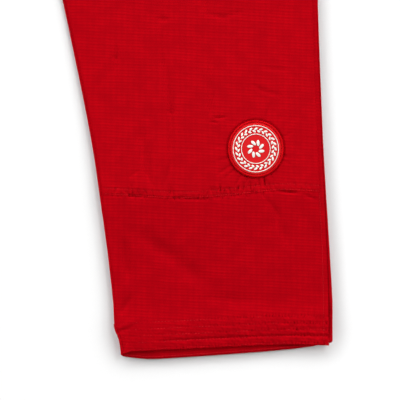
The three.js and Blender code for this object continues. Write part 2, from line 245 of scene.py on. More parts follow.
# Gathers that stand on the knee seam, between two places across either leg. Below 0 is the
# wearer's right.
KNEE_GATHERS = table(
    "start end count depth length",
    (128, 146, 5, 0.32, 6),
    (150, 172, 9, 0.44, 8),
    (176, 206, 8, 0.34, 9),
    (206, 238, 6, 0.3, 6),
    (238, 272, 13, 0.46, 9),
    (272, 302, 9, 0.46, 13),
    (304, 352, 9, 0.3, 7),
    (-128, -168, 12, 0.45, 7),
    (-168, -238, 16, 0.35, 8),
    (-238, -290, 14, 0.5, 10),
    (-290, -352, 11, 0.3, 7),
)

# Folds that the badge's sewing pulls into the cloth, by direction from the badge's middle.
BADGE_PULLS = table(
    "turn start end width depth",
    (-146, 31, 48, 1.5, -0.55),
    (-136, 31, 43, 1.3, -0.5),
    (-119, 31, 46, 1.4, -0.6),
    (-107, 31, 47, 1.5, -0.65),
    (-96, 32, 42, 1.2, -0.4),
    (-84, 31, 46, 1.4, -0.6),
    (-75, 31, 47, 1.5, -0.55),
    (-60, 31, 42, 1.3, -0.35),
    (-162, 31, 42, 1.8, -0.35),
    (176, 31, 40, 1.8, -0.3),
    (96, 31, 44, 1.6, -0.4),
    (72, 31, 50, 1.8, -0.5),
    (24, 31, 40, 1.5, -0.4),
    (-24, 31, 39, 1.5, -0.35),
)


def clamp(value, low=0.0, high=1.0):
    return np.clip(value, low, high)


def lerp(start, end, share):
    return start + (end - start) * share


def rise(distance, run):
    """0 at the edge, 1 at the run and beyond, steep at first."""
    return 1 - (1 - clamp(distance / run)) ** 2


def fade(distance, run):
    """1 at the start, 0 at the run and beyond, with a soft end."""
    return (1 - clamp(distance / run)) ** 2


def curve_through(rows, key, column, smooth=True):
    """A curve through one column of a table, read at any places along its key column."""
    places = np.array([row[key] for row in rows], dtype=float)
    values = np.array([row[column] for row in rows], dtype=float)
    last = len(places) - 1
    before = np.maximum(np.arange(last + 1) - 1, 0)
    after = np.minimum(np.arange(last + 1) + 1, last)
    slopes = (values[after] - values[before]) / (places[after] - places[before])

    def evaluate(at):
        at = np.clip(at, places[0], places[-1])
        i = np.clip(np.searchsorted(places, at, side="right") - 1, 0, last - 1)
        span = places[i + 1] - places[i]
        t = (at - places[i]) / span
        if not smooth:
            return lerp(values[i], values[i + 1], t)
        return (
            values[i] * (2 * t**3 - 3 * t**2 + 1)
            + slopes[i] * span * (t**3 - 2 * t**2 + t)
            + values[i + 1] * (3 * t**2 - 2 * t**3)
            + slopes[i + 1] * span * (t**3 - t**2)
        )

    return evaluate


inseam = curve_through(LEG_OUTLINE, "y", "inner")
inner_curl = curve_through(LEG_OUTLINE, "y", "inner_curl")
outseam = curve_through(OUTSEAM, "y", "outer")
outer_curl = curve_through(OUTSEAM, "y", "outer_curl")
outseam_lap = curve_through(OUTSEAM, "y", "lap")
hem_line = {face: curve_through(HEM_LINE, "share", face, smooth=False) for face in ("front", "back")}
knee_drop = curve_through(KNEE_LINE, "share", "drop")


def inner_edge(y):
    """The inseam, then the straight edge along the gusset, then the centre seam."""
    along_gusset = CROTCH_HALF_WIDTH * (1 - (y - CROTCH_Y) / (CROTCH_APEX - CROTCH_Y))
    return np.where(y < CROTCH_Y, inseam(y), np.maximum(along_gusset, SEAM_GAP / 2))


def front_outer_edge(y):
    return outseam(y) - outseam_lap(y)


def waist_seam(face, x):
    middle = 1 - (x / outseam(WAIST_SIDE)) ** 2
    return WAIST_SIDE + middle * (-WAIST_DIP if face == "front" else WAIST_RISE)


def outer_distance(x, y):
    return np.maximum(0.0, outseam(y) - np.abs(x))


def front_edge_distance(x, y):
    return np.maximum(0.0, front_outer_edge(y) - np.abs(x))


def inner_distance(x, y):
    beside = inner_seam_distance(x, y)
    round_crotch = np.hypot(np.maximum(0.0, np.abs(x) - CROTCH_HALF_WIDTH), y - CROTCH_Y)
    return np.where(y <= CROTCH_Y, beside, round_crotch)


def inner_seam_distance(x, y):
    """Straight across to the inseam, gusset seam or centre seam."""
    return np.maximum(0.0, np.abs(x) - inner_edge(y))


def hem_distance(face, x, y):
    share = (np.abs(x) - inner_edge(y)) / (outseam(y) - inner_edge(y))
    return np.maximum(0.0, y - HEM_CORNER - hem_line[face](clamp(share)))


def wall(face, x, y):
    return lerp(CAD_HEM, CAD_CLOTH, rise(hem_distance(face, x, y) - HEM_DEPTH + HEM_STEP_START, HEM_STEP))


def place(x, y, z):
    """Places in the frame, in metres, from millimetres above the lowest point of the hems."""
    return np.stack(np.broadcast_arrays(x, y - LENGTH / 2, z), axis=-1) * MM


# Relief of the cloth

CREASE_DEPTH = 1.9  # the tables' depths are multiplied by this
GATHER_SHARE = 1.2  # and those of the gathers by this as well
PULL_SHARE = 0.52  # and those of the badge's pulls by this


def crease_depth(creases, x, y):
    total = np.zeros(np.broadcast(x, y).shape)
    for c in creases:
        turn = math.radians(c["turn"])
        dx, dy = x - c["x"], y - c["y"]
        along = (dx * math.cos(turn) + dy * math.sin(turn)) / c["length"]
        across = (dy * math.cos(turn) - dx * math.sin(turn)) / c["width"]
        total += c["depth"] * np.exp(-(across**2) - along**4)
    return total


def knee_seam(x):
    """Height of the knee cloth's lower edge at a place across either leg."""
    low = HEM_CORNER + KNEE_LOW
    share = clamp((np.abs(x) - inner_edge(low)) / (front_outer_edge(low) - inner_edge(low)))
    return low + hem_line["front"](share) * fade(KNEE_LOW, HEM_FADE) - knee_drop(share)


def gather_creases(groups, seed):
    """Short uneven creases that stand on the knee seam, close together."""
    pick = random.Random(seed)
    creases = []
    for group in groups:
        step = (group["end"] - group["start"]) / group["count"]
        for i in range(group["count"]):
            x = group["start"] + step * (i + pick.uniform(0.15, 0.85))
            length = group["length"] * pick.uniform(0.5, 1.15)
            y = float(knee_seam(x)) + length * pick.uniform(0.25, 0.7)
            turn = 90 + pick.uniform(-24, 24)
            width = pick.uniform(0.8, 1.5)
            depth = -GATHER_SHARE * group["depth"] * pick.uniform(0.45, 1.2)
            creases.append((x, y, turn, length * 0.75, width, depth))
    return table(CREASE_COLUMNS, *creases)


def pull_creases(pulls):
    """Radial creases round the badge."""
    creases = []
    for p in pulls:
        turn = math.radians(p["turn"])
        reach = (p["start"] + p["end"]) / 2
        x = BADGE_X + math.cos(turn) * reach
        y = BADGE_Y + math.sin(turn) * reach
        length = (p["end"] - p["start"]) / 2 + 2
        creases.append((x, y, p["turn"], length, p["width"], PULL_SHARE * p["depth"]))
    return table(CREASE_COLUMNS, *creases)


front_creases = CREASES + gather_creases(KNEE_GATHERS, seed=11) + pull_creases(BADGE_PULLS)

# Rows of stitches, by their distance in from an edge
HEM_STITCH_ROWS = [2.0, 9.3, 16.1, 23.0, 30.1]
HEM_STITCH_PITCH = 3.4
HEM_STITCH_START = 1.2  # from the panel's edges
OUTSEAM_STITCH_ROW = 4.8
INSEAM_STITCH_ROW = 2.4
KNEE_STITCH_ROWS = [1.6, 7.4]

# How the sewing, the seams and the hems shape the cloth
STITCH_SINK = 0.32  # the thread pulls the cloth down this far
STITCH_TROUGH = 0.75  # in a trough of about this half width
SEAM_BAND = 0.4  # the folded seam allowance raises the cloth this much beside the edge
SEAM_BAND_WIDTH = 4.1
HEM_LIVELY_FROM = 150  # across the leg, from where the hem puckers more and more
HEM_LIVELY_RUN = 170
HEM_OPEN_TO = 165  # up to here its mouth stands open and its edge bends down most
HEM_OPEN_RUN = 45
HEM_NEEDLE = 1.2  # half width of the dimples at the needle holes
HEM_BEND_RUN = 26
HEM_CORNER_RUN = 16
BACK_HEM_BEND = 1.3  # the back's hem droops this much at its edge
OUTSEAM_LIFT = 1.25  # the back is folded up to the front's edge along the outseam
KNEE_INSET = 3.9  # the knee cloth's sides are caught under the seam bands
KNEE_TURN = 1.2  # the knee cloth's edges turn down over this width
INSEAM_DROP = 1.5  # the front rolls down to the inseam by this much
INSEAM_RUN = 6
CALM_EDGE = 12  # the cloth lies calmer this near to a seam
COVER_MARGIN = 3  # the front starts to be smooth this far under the knee cloth
COVER_INSET = 7  # and this far from its sides
COVER_RUN = 6
BADGE_PRESS = 0.95  # the badge's edge presses the knee cloth down by this much


def stitched_in(distance, rows, sink=STITCH_SINK):
    """How far stitch rows pull the cloth in at a distance from an edge."""
    return sum(sink * np.exp(-(((distance - row) / STITCH_TROUGH) ** 2)) for row in rows)


def soft_noise(x, y, size, seed):
    """Smooth unevenness between about -1 and 1, in blobs of this size."""
    cells = 128
    heights = np.random.default_rng(seed).uniform(-1, 1, (cells, cells))
    u, v = np.broadcast_arrays(x / size, y / size)
    i, j = np.floor(u).astype(int), np.floor(v).astype(int)
    across, up = u - i, v - j
    across, up = across**2 * (3 - 2 * across), up**2 * (3 - 2 * up)
    low = lerp(heights[i % cells, j % cells], heights[(i + 1) % cells, j % cells], across)
    high = lerp(heights[i % cells, (j + 1) % cells], heights[(i + 1) % cells, (j + 1) % cells], across)
    return lerp(low, high, up)


def hem_relief(distance, x):
    """The sewn hem's own relief: its rows dip at each needle hole, and it puckers between them."""
    outwards = clamp((np.abs(x) - HEM_LIVELY_FROM) / HEM_LIVELY_RUN)
    low = lerp(1, 0.55, clamp(distance / HEM_DEPTH))
    waves = soft_noise(x + 0.5 * distance, distance * 0.6, 2.3, 31)
    slow = soft_noise(x * 0.6, distance * 1.1, 4.7, 36)
    relief = fade(distance - HEM_DEPTH, 5) * lerp(0.18, 0.46, outwards) * low * (waves + 0.6 * slow)
    for i, row in enumerate(HEM_STITCH_ROWS):
        first = inner_edge(HEM_CORNER + row) + HEM_STITCH_START
        holes = 0.22 + 0.5 * np.cos(2 * math.pi * (np.abs(x) - first) / HEM_STITCH_PITCH)
        deep = lerp(0.2, 1.0, outwards) * (0.8 + 0.6 * slow)
        relief = relief - 1.1 * deep * holes * np.exp(-(((distance - row) / HEM_NEEDLE) ** 2))
        # the second row has drawn in a groove that runs on to the outseam
        groove = 0.8 * rise(np.abs(x) - 178, 50) if i == 1 else 0.06
        beside = distance - row - 0.8 - 0.6 * slow
        relief = relief - groove * np.exp(-((beside / HEM_NEEDLE) ** 2))
    # the hem's edge is bent down, as far as there is room over the back
    inner = np.abs(x) - inner_edge(HEM_CORNER + distance)
    bend = lerp(2.7, 2.0, rise(np.abs(x) - HEM_OPEN_TO, HEM_OPEN_RUN)) * rise(inner, HEM_CORNER_RUN)
    return relief - bend * fade(distance, HEM_BEND_RUN)


def seam_relief(distance, along, row, sink):
    """The raised seam allowance beside a sewn edge, with its stitch trough and small puckers."""
    band = SEAM_BAND * (1 - rise(distance - SEAM_BAND_WIDTH + 0.6, 1.1))
    pucker = 0.13 * fade(distance - 2, 14) * soft_noise(along, distance * 0.25, 3.4, 21)
    return band - stitched_in(distance, [row], sink) + pucker


def cloth_handle(x, y):
    """The cloth's slight unevenness, livelier over the knees and thighs than on the shins."""
    lively = lerp(0.55, 1.0, clamp((y - 165) / 20))
    long_way = soft_noise(x * 1.6, y * 0.8, 17, 3)
    short_way = soft_noise(x * 1.2, y * 1.7, 7.5, 9)
    return lively * (0.24 * long_way + 0.08 * short_way)


def edge_turn(distance):
    """A sewn edge turns down over its last stretch."""
    left = 1 - clamp(distance / EDGE_ROUND)
    return EDGE_DROP * (1 - np.sqrt(np.maximum(0.0, 1 - left**2)))


def back_under(x, y):
    sides = inner_curl(y) * fade(inner_distance(x, y), CURL_RUN)
    sides += outer_curl(y) * fade(outer_distance(x, y), CURL_RUN)
    hem = HEM_CURL * fade(hem_distance("back", x, y), HEM_CURL_RUN)
    return np.maximum(sides, hem)


def front_top(x, y):
    """The front's face as in the solids, with the broad folds only, and held down at the hem."""
    distance = np.minimum(inner_distance(x, y), outer_distance(x, y))
    opening = rise(distance, CROWN_RUN)
    billow = CROWN * opening + DOME * rise(distance, DOME_RUN)
    mouth = lerp(0.0, 0.75, rise(np.abs(x) - HEM_OPEN_TO, HEM_OPEN_RUN))
    billow *= 1 - mouth * fade(hem_distance("front", x, y), 80)
    billow += opening * crease_depth(FOLDS, x, y)
    return back_under(x, y) + wall("back", x, y) + SEAM_GAP + billow + wall("front", x, y)


def front_face(x, y):
    """The front's face with its creases, seams and stitch troughs."""
    inner = inner_seam_distance(x, y)
    outer = front_edge_distance(x, y)
    hem = hem_distance("front", x, y)
    z = front_top(x, y) + cloth_handle(x, y) * rise(np.minimum(inner, outer), CALM_EDGE)
    z += CREASE_DEPTH * crease_depth(front_creases, x, y)
    z += seam_relief(inner, y + x, INSEAM_STITCH_ROW, sink=1.0)
    z += seam_relief(outer, y - x, OUTSEAM_STITCH_ROW, sink=0.3)
    z += hem_relief(hem, x)
    # above the gusset only the wearer's left half turns down, beside the centre seam
    z -= np.where((x > 0) | (y < CROTCH_APEX), INSEAM_DROP * fade(inner, INSEAM_RUN), 0.0)
    return z - edge_turn(outer)


def hidden_face(x, y):
    """The front's own face, which lies smooth and a little lower under the knee cloth."""
    above = y - knee_seam(x) - COVER_MARGIN
    below = KNEE_HIGH + HEM_CORNER - COVER_MARGIN - y
    sides = np.minimum(inner_seam_distance(x, y), front_edge_distance(x, y)) - COVER_INSET
    covered = rise(np.minimum(np.minimum(above, below), sides), COVER_RUN)
    return lerp(front_face(x, y), front_top(x, y) - 1.2, covered)


def knee_face(x, y):
    """The knee cloth's face: it lies on the front and is pulled onto it at its own edges."""
    above = y - knee_seam(x)
    below = KNEE_HIGH + HEM_CORNER - y
    edge = np.maximum(0.0, np.minimum(above, below))
    sides = np.minimum(inner_seam_distance(x, y), front_edge_distance(x, y)) - KNEE_INSET
    cloth = lerp(-0.1, KNEE_RISE, rise(np.minimum(edge, sides), KNEE_TURN))
    from_badge = np.hypot((x - BADGE_X) / BADGE_SQUEEZE, y - BADGE_Y) - BADGE_RADIUS
    cloth = cloth - BADGE_PRESS * np.exp(-((from_badge - 0.7) ** 2))
    return front_face(x, y) + cloth - stitched_in(edge, KNEE_STITCH_ROWS)


def back_face(x, y):
    """The back's face, which lies on the surface. Its stitches sit in troughs above it."""
    inner = inner_seam_distance(x, y)
    outer = outer_distance(x, y)
    troughs = stitched_in(inner, [INSEAM_STITCH_ROW])
    troughs += stitched_in(hem_distance("back", x, y), HEM_STITCH_ROWS)
    beside_front = clamp((outer - outseam_lap(y) - 0.6) / 3.2)
    lift = 0.6 * edge_turn(inner) + OUTSEAM_LIFT * (1 - beside_front**2 * (3 - 2 * beside_front))
    bent = BACK_HEM_BEND * rise(inner, HEM_CORNER_RUN) * rise(outer, HEM_CORNER_RUN)
    bent = bent * fade(hem_distance("back", x, y), 15)
    return back_under(x, y) + 1.3 * troughs + lift - bent - 0.6 * edge_turn(outer)


# Meshes

EDGE_COLUMNS = [0, 0.2, 0.5, 0.9, 1.5, 2.1, 3.1, 3.9, 4.3, 4.8, 5.4, 6.4, 8]
KNEE_EDGE_COLUMNS = [3.9, 4.1, 4.4, 4.8, 5.4, 6.6, 8.4]
KNEE_CUT_X = 2.1
KNEE_CUT_Y = 1.2


def panel_columns(count, edge_columns=EDGE_COLUMNS):
    """Places across a panel as (share of its width, offset), closer together at both edges."""
    lead = edge_columns[-1]
    inner = [(0.0, offset) for offset in edge_columns]
    middle = [(i / count, lerp(lead, -lead, i / count)) for i in range(1, count)]
    outer = [(1.0, -offset) for offset in reversed(edge_columns)]
    return inner + middle + outer


def panel_rows(start, *stretches):
    """Heights of rows: each stretch runs from the last height to its end in even steps."""
    heights = [start]
    for end, step in stretches:
        count = max(1, round((end - heights[-1]) / step))
        heights += list(np.linspace(heights[-1], end, count + 1)[1:])
    return heights


def hem_turn_rows(radius):
    """The turned-up layer and the fold, as (height above the hem's edge, depth under the face)."""
    turned = [(height, 2 * radius) for height in (HEM_DEPTH, 31, 29, 25, 21, 17, 13, 9, 5, 3.4, 1.6)]
    fold = []
    for i in range(8):
        turn = -math.pi / 2 + math.pi * i / 8
        fold.append((radius - radius * math.cos(turn), radius - radius * math.sin(turn)))
    return turned + fold


def plan_point(face, share, offset, up):
    """Places on a leg panel in plan, as in the solids."""
    level = HEM_CORNER + up
    place_share = clamp(share + offset / (outseam(level) - inner_edge(level)))
    y = level + hem_line[face](place_share) * fade(up, HEM_FADE)
    if face == "front":
        y = y - knee_drop(place_share) * fade(np.abs(up - KNEE_LOW), KNEE_FADE)
    top = WAIST_SIDE - SEAM_GAP - HEM_CORNER
    middle = outseam(WAIST_SIDE) * place_share
    y = y + (waist_seam(face, middle) - WAIST_SIDE) * fade(top - up, 120)
    outer = front_outer_edge(y) if face == "front" else outseam(y)
    return lerp(inner_edge(y), outer, share) + offset, y


def move_points(bm, places):
    for vert, where in zip(bm.verts, places):
        vert.co = where


def finished(bm, name, material):
    """The bmesh as a smooth piece of one material."""
    mesh = bpy.data.meshes.new(name)
    bm.to_mesh(mesh)
    bm.free()
    mesh.materials.append(material)
    mesh.polygons.foreach_set("use_smooth", [True] * len(mesh.polygons))
    piece = bpy.data.objects.new(name, mesh)
    bpy.context.scene.collection.objects.link(piece)
    return piece


def woven_sheet(name, columns, rows, spot, material, shown=None, faces_up=True, cut_out=None):
    """One layer of cloth. spot gives the places and the places on the flat cut, in millimetres.

    shown picks, by place on the cut, the faces that look up, or down if faces_up is False.
    cut_out picks the ones that are cut away.
    """
    columns, rows = np.array(columns, dtype=float), np.array(rows, dtype=float)
    across, along = len(columns) - 1, len(rows) - 1
    bm = bmesh.new()
    bmesh.ops.create_grid(bm, x_segments=across, y_segments=along, size=0.5)
    at = np.array([v.co[:2] for v in bm.verts]) + 0.5
    column = columns[np.rint(at[:, 0] * across).astype(int)]
    row = rows[np.rint(at[:, 1] * along).astype(int)]
    (x, y, z), (u, v) = spot(column, row)
    move_points(bm, place(x, y, z))
    bm.verts.index_update()
    cut = np.stack(np.broadcast_arrays(u, v), axis=-1)
    uv = bm.loops.layers.uv.new("cut")
    for face in bm.faces:
        for loop in face.loops:
            loop[uv].uv = cut[loop.vert.index] * MM
    bm.normal_update()
    middles = {f: cut[[v.index for v in f.verts]].mean(axis=0) for f in bm.faces} if shown else {}
    tested = [f for f in bm.faces if not shown or shown(*middles[f])]
    if (sum(f.normal.z * f.calc_area() for f in tested) > 0) != faces_up:
        bmesh.ops.reverse_faces(bm, faces=bm.faces)
    if cut_out:
        away = [f for f in bm.faces if cut_out(*middles[f])]
        bmesh.ops.delete(bm, geom=away, context="FACES")
        bmesh.ops.remove_doubles(bm, verts=bm.verts, dist=0.002 * MM)
    piece = finished(bm, name, material)
    wall_modifier = piece.modifiers.new("cloth", "SOLIDIFY")
    wall_modifier.thickness = CLOTH * MM
    wall_modifier.offset = -1
    return piece


def leg_panel(name, side, face, rows, columns, face_height, material):
    """A leg's front or back with its hem turned up inside."""
    radius = (HEM_FOLD + CLOTH) / 2
    all_rows = hem_turn_rows(radius) + [(up, 0.0) for up in rows]

    def spot(column, row):
        up, depth = row.T
        x, y = plan_point(face, *column.T, up)
        z = face_height(side * x, y)
        level = z - depth if face == "front" else z + depth
        return (side * x, y, level), (x, np.where(depth > radius, -y, y))

    return woven_sheet(name, columns, all_rows, spot, material, faces_up=face == "front")


def knee_panel(name, side, columns, rows, material):
    """The knee reinforcement. Its ripstop grid doesn't line up with the leg's."""

    def spot(column, row):
        x, y = plan_point("front", *column.T, row)
        return (side * x, y, knee_face(side * x, y)), (x + KNEE_CUT_X, y + KNEE_CUT_Y)

    return woven_sheet(name, columns, rows, spot, material)


# The gusset: down the front from its tip, round the crotch, and up the back

GUSSET_FOLD = float(front_top(0, CROTCH_Y) - back_under(0, CROTCH_Y)) / 2
GUSSET_TIP = CROTCH_APEX - 3
GUSSET_GAP = 0.45


def gusset_piece(material):
    straight = GUSSET_TIP - CROTCH_Y
    round_crotch = math.pi * GUSSET_FOLD
    columns = [-1, -0.97, -0.9, -0.8, -0.6, -0.4, -0.2, 0, 0.2, 0.4, 0.6, 0.8, 0.9, 0.97, 1]
    rows = panel_rows(0, (straight, 4), (straight + round_crotch, 0.8), (2 * straight + round_crotch, 4))

    def spot(column, row):
        turn = clamp((row - straight) / GUSSET_FOLD, 0, math.pi)
        up_the_back = np.maximum(0.0, row - straight - round_crotch)
        level = np.where(row < straight, GUSSET_TIP - row, CROTCH_Y + up_the_back)
        x = column * (inner_edge(level) - GUSSET_GAP)
        top = front_top(x, level) - 0.25 - 0.35 * np.abs(column) ** 6
        bottom = back_under(x, level) + 0.12
        z = (top + bottom) / 2 + (top - bottom) / 2 * np.cos(turn)
        return (x, level - GUSSET_FOLD * np.sin(turn), z), (x, -row)

    return woven_sheet("gusset", columns, rows, spot, material, shown=lambda u, v: -v < straight)


# The waistband: a strip folded double along its top, round the body of the trousers

BAND_WALL = 1.8
BAND_REACH = 277.95
BAND_MIDDLE = 2.05
BAND_TURN = math.pi * BAND_MIDDLE
BAND_LOOP = 4 * BAND_REACH + 2 * BAND_TURN
FRONT_MIDDLE = BAND_LOOP / 2
BAND_STITCH_ROW = 3
BAND_LEVELS = [0, 1.6, 2.3, 3, 3.7, 4.6, 7, 10, 14, 19, 24, 28, 31, 33.4, 34.3, 35, 35.7, 36.4]
SLIT = dict(x=46, width=3, length=18)


def band_rows():
    """(height, depth under the outer face, place up the cut) from the inner layer's raw edge."""
    radius = BAND_WALL / 2
    top = BAND_DEPTH - radius
    rows = [(up, BAND_WALL) for up in BAND_LEVELS + [top]]
    for i in range(1, 8):
        turn = math.pi * i / 8
        rows.append((top + radius * math.sin(turn), radius + radius * math.cos(turn)))
    rows += [(up, 0.0) for up in reversed(BAND_LEVELS + [top])]
    steps = [0.0] + [math.dist(a, b) for a, b in zip(rows, rows[1:])]
    return [(up, depth, v) for (up, depth), v in zip(rows, np.cumsum(steps))]


def band_columns():
    """Distances round the band, from the middle of the back towards the wearer's left."""
    side = SLIT["width"] / 2
    half = [x for x in np.arange(0, BAND_REACH - 4, 9.2) if abs(x - SLIT["x"]) > side + 0.8]
    half += [SLIT["x"] - side, SLIT["x"] + side, BAND_REACH - 3, BAND_REACH - 1.2, BAND_REACH]
    half = np.array(sorted(half))
    turn = BAND_REACH + BAND_TURN * np.arange(1, 10) / 10
    quarter = np.concatenate([half, turn])
    front = np.concatenate([FRONT_MIDDLE - half[::-1], FRONT_MIDDLE + half[1:]])
    return np.concatenate([quarter, front, (BAND_LOOP - quarter)[::-1]])


def band_place(along, up, depth):
    """Places on the band. along is the distance round it, and depth is in from its outer face."""
    radius = BAND_MIDDLE - depth
    front_start = BAND_REACH + BAND_TURN
    front_end = front_start + 2 * BAND_REACH
    first_turn = clamp((along - BAND_REACH) / BAND_MIDDLE, 0, math.pi)
    second_turn = clamp((along - front_end) / BAND_MIDDLE, 0, math.pi)
    on_front = (along >= front_start) & (along <= front_end)
    x = np.where(along < front_start, np.minimum(along, BAND_REACH) + radius * np.sin(first_turn), 0)
    x = np.where(on_front, FRONT_MIDDLE - along, x)
    past = np.maximum(along - front_end - BAND_TURN, 0)
    x = np.where(along > front_end, past - BAND_REACH - radius * np.sin(second_turn), x)
    inward = BAND_REACH - np.abs(x)
    pucker = 0.12 * soft_noise(along, up * 0.2, 4.2, 51) + 0.14 * soft_noise(along, up * 0.3, 11, 52)
    troughs = stitched_in(up, [BAND_STITCH_ROW]) + stitched_in(BAND_DEPTH - up, [BAND_STITCH_ROW])
    pucker = np.where(depth == 0, pucker - troughs, pucker) * rise(inward, 6)
    billow = (CROWN + DOME) * rise(inward, DOME_RUN)
    z = BAND_MIDDLE - radius * np.cos(first_turn + second_turn)
    z = z + np.where(on_front, billow + pucker, np.maximum(0, -pucker))
    near = np.minimum(np.abs(x), outseam(WAIST_SIDE))
    seam = np.where(on_front, waist_seam("front", near), waist_seam("back", near))
    return x, seam + up, z


def waistband_piece(material):
    rows = band_rows()
    fold = rows[-1][2] / 2

    def spot(column, row):
        up, depth, up_the_cut = row.T
        return band_place(column, up, depth), (column, up_the_cut)

    def shown(along, up_the_cut):
        return up_the_cut > fold + 1 and abs(along - FRONT_MIDDLE) < BAND_REACH

    def in_a_slit(along, up_the_cut):
        up = BAND_DEPTH - abs(up_the_cut - fold)
        beside = abs(abs(along - FRONT_MIDDLE) - SLIT["x"])
        return beside < SLIT["width"] / 2 and abs(up - BAND_DEPTH / 2) < SLIT["length"] / 2

    return woven_sheet("waistband", band_columns(), rows, spot, material, shown, cut_out=in_a_slit)


# Sewing

STITCH_PITCH = 2.5
STITCH_SHARE = 0.66  # of the pitch is thread on the cloth's face
STITCH_THICKNESS = 0.62
STITCH_LIFT = 0.07
STITCH_SUNK = 0.22  # the thread is drawn this deep into the front's hem near the inseam
INSEAM_START = 6
INSEAM_END = 634
CENTRE_START = 644


def stitches_along(start, end, point, pitch=STITCH_PITCH):
    """Stitches in a row along point(t), t in millimetres: the places of their starts and ends."""
    count = max(1, round((end - start) / pitch))
    step = (end - start) / count
    middles = start + step * (np.arange(count) + 0.5)
    reach = step * STITCH_SHARE / 2
    starts = np.stack(np.broadcast_arrays(*point(middles - reach)), axis=-1)
    ends = np.stack(np.broadcast_arrays(*point(middles + reach)), axis=-1)
    return np.stack([starts, ends], axis=1)


def sewn(name, rows, material, thickness=STITCH_THICKNESS):
    """Rows of stitches as one piece. Each stitch is a slim spindle of two dozen faces."""
    stitches = np.concatenate(rows)
    sphere = bmesh.new()
    bmesh.ops.create_uvsphere(sphere, u_segments=6, v_segments=4, radius=1)
    mesh = bpy.data.meshes.new("spindle")
    sphere.to_mesh(mesh)
    sphere.free()
    bm = bmesh.new()  # filled from a mesh, so that the copies below follow in its order
    bm.from_mesh(mesh)
    bpy.data.meshes.remove(mesh)
    spindle = np.array([v.co for v in bm.verts])
    parts = len(bm.verts), len(bm.edges), len(bm.faces)
    made = 1
    while made < len(stitches):
        copies = min(made, len(stitches) - made)
        verts, edges, faces = (copies * count for count in parts)
        bmesh.ops.duplicate(bm, geom=bm.verts[:verts] + bm.edges[:edges] + bm.faces[:faces])
        made += copies
    run = stitches[:, 1] - stitches[:, 0]
    length = np.linalg.norm(run, axis=1, keepdims=True)
    along = run / length
    steep = np.abs(along[:, 2:]) > 0.8
    across = np.cross(np.where(steep, (0.0, 1.0, 0.0), (0.0, 0.0, 1.0)), along)
    across /= np.linalg.norm(across, axis=1, keepdims=True)
    up = np.cross(along, across)
    spots = stitches.mean(axis=1)[:, None] + spindle[None, :, 2:] * run[:, None] / 2
    spots = spots + spindle[None, :, :1] * across[:, None] * thickness / 2
    spots = spots + spindle[None, :, 1:2] * up[:, None] * thickness / 2
    move_points(bm, place(*spots.reshape(-1, 3).T))
    return finished(bm, name, material)


def hem_stitches(side, face, face_height, lift):
    rows = []
    for distance in HEM_STITCH_ROWS:

        def point(along, distance=distance):
            y = HEM_CORNER + distance
            for _ in range(3):
                share = (along - inner_edge(y)) / (outseam(y) - inner_edge(y))
                y = HEM_CORNER + hem_line[face](clamp(share)) + distance
            # further out the thread lies on top
            sunk = STITCH_SUNK * (1 - rise(along - HEM_LIVELY_FROM, 100)) if face == "front" else 0.0
            return side * along, y, face_height(side * along, y) + lift - sunk

        low = HEM_CORNER + distance
        edge = front_outer_edge if face == "front" else outseam
        start = float(inner_edge(low)) + HEM_STITCH_START
        count = int((float(edge(low + 10)) - HEM_STITCH_START - start) / HEM_STITCH_PITCH)
        rows.append(stitches_along(start, start + count * HEM_STITCH_PITCH, point, HEM_STITCH_PITCH))
    return rows


def seam_stitches(side, low, high, face_height, edge=inner_edge, inwards=INSEAM_STITCH_ROW):
    """A row beside an edge, from a place up the leg to another."""

    def point(y):
        x = side * (edge(y) + inwards)
        return x, y, face_height(x, y) - STITCH_LIFT

    return [stitches_along(low, high, point)]


def front_stitches(side):
    rows = hem_stitches(side, "front", front_face, STITCH_LIFT)
    rows += seam_stitches(side, 16.5, 914, front_face, front_outer_edge, -OUTSEAM_STITCH_ROW)
    rows += seam_stitches(side, INSEAM_START, INSEAM_END, front_face)
    return rows + seam_stitches(side, CENTRE_START, 904, front_face)


def back_stitches(side):
    rows = hem_stitches(side, "back", back_face, -STITCH_LIFT)
    rows += seam_stitches(side, INSEAM_START, INSEAM_END, back_face)
    return rows + seam_stitches(side, CENTRE_START, 916, back_face)


def knee_stitches(side):
    rows = []
    for level, distance in itertools.product((KNEE_LOW, KNEE_HIGH), KNEE_STITCH_ROWS):

        def point(along, level=level, distance=distance):
            x = side * along
            y = knee_seam(x) + distance if level == KNEE_LOW else KNEE_HIGH + HEM_CORNER - distance
            return x, y, knee_face(x, y) - STITCH_LIFT

        start = float(inner_edge(level)) + KNEE_INSET + 1
        end = float(front_outer_edge(level)) - KNEE_INSET - 1
        rows.append(stitches_along(start, end, point))
    return rows


def inside_hem_stitches(side):
    """The hem's first rows on the inside of the back, which shows below the front's hem."""

    def inside_face(x, y):
        return back_face(x, y) + HEM_FOLD + CLOTH

    return hem_stitches(side, "back", inside_face, 0.02)[:2]


def waistband_stitches():
    rows = []
    for up in (BAND_STITCH_ROW, BAND_DEPTH - BAND_STITCH_ROW):

        def point(along, up=up):
            x, y, z = band_place(along, up, 0.0)
            return x, y, np.maximum(z, STITCH_THICKNESS / 2 + 0.02)  # the underside stays off the floor

        rows.append(stitches_along(0, BAND_LOOP, point))
    return rows


def slit_stitches():
    """Satin stitches side by side round each drawcord slit."""
    low = (BAND_DEPTH - SLIT["length"]) / 2
    half_width = SLIT["width"] / 2
    bars = []
    for side in SIDES.values():
        middle = FRONT_MIDDLE - side * SLIT["x"]
        for up in np.linspace(low, low + SLIT["length"], 33):
            for edge in (-1, 1):
                bars.append([(middle + edge * (half_width + reach), up) for reach in (-0.25, 1.75)])
        for along in np.linspace(middle - half_width, middle + half_width, 7):
            bars.append([(along, low - reach) for reach in (-0.25, 1.9)])
            bars.append([(along, low + SLIT["length"] + reach) for reach in (-0.25, 1.9)])
    alongs, ups = np.array(bars).transpose(2, 0, 1)
    return [np.stack(band_place(alongs, ups, 0.0), axis=-1) + (0, 0, 0.1)]


